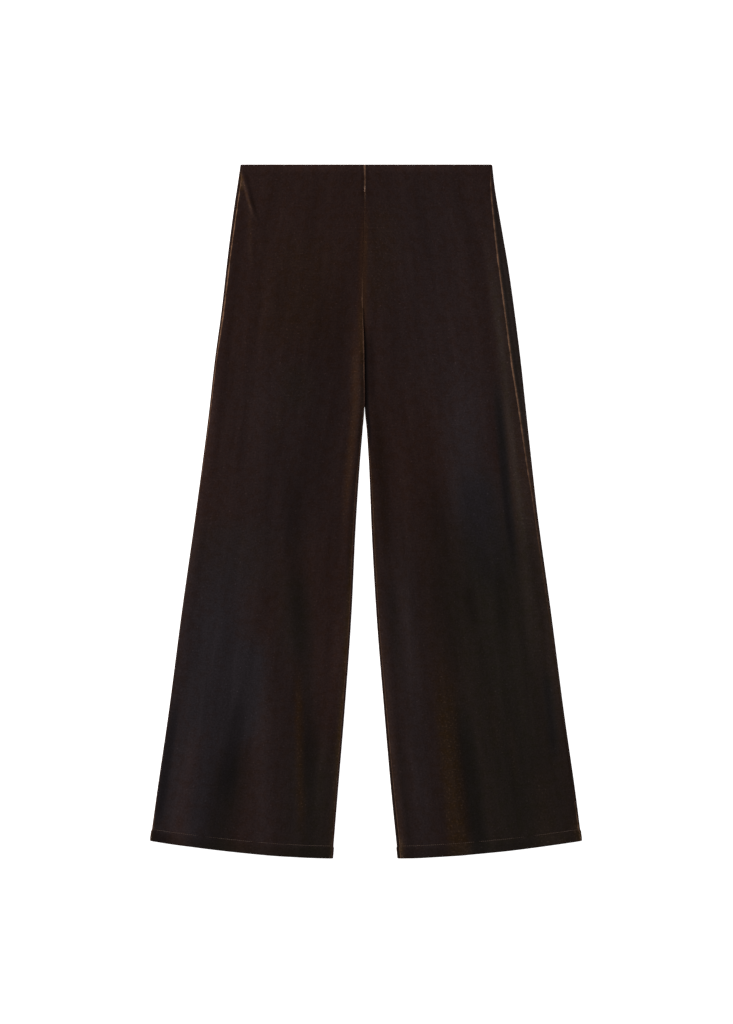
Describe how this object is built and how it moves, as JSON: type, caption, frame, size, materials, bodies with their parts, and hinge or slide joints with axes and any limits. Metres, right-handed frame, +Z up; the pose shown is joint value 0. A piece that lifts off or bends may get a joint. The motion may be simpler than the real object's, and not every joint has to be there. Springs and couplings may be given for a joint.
{
  "type": "palazzo pants",
  "caption": "High-waisted pull-on palazzo pants in stretch velvet with wide flared legs, laid flat with the front up.",
  "frame": {"origin": "centre of the garment's outline, on the surface that it lies on", "axes": "+Y from the hems to the waist edge, +X towards the wearer's left leg, +Z up out of the front"},
  "size_m": [0.6458, 1.0405, 0.0097],
  "materials": {
    "velvet": "dark brown stretch velvet, matt with a soft nap sheen",
    "thread": "copper brown sewing thread"
  },
  "bodies": {
    "root": {"front_right": "velvet", "front_left": "velvet", "back_right": "velvet", "back_left": "velvet"}
  },
  "joints": []
}
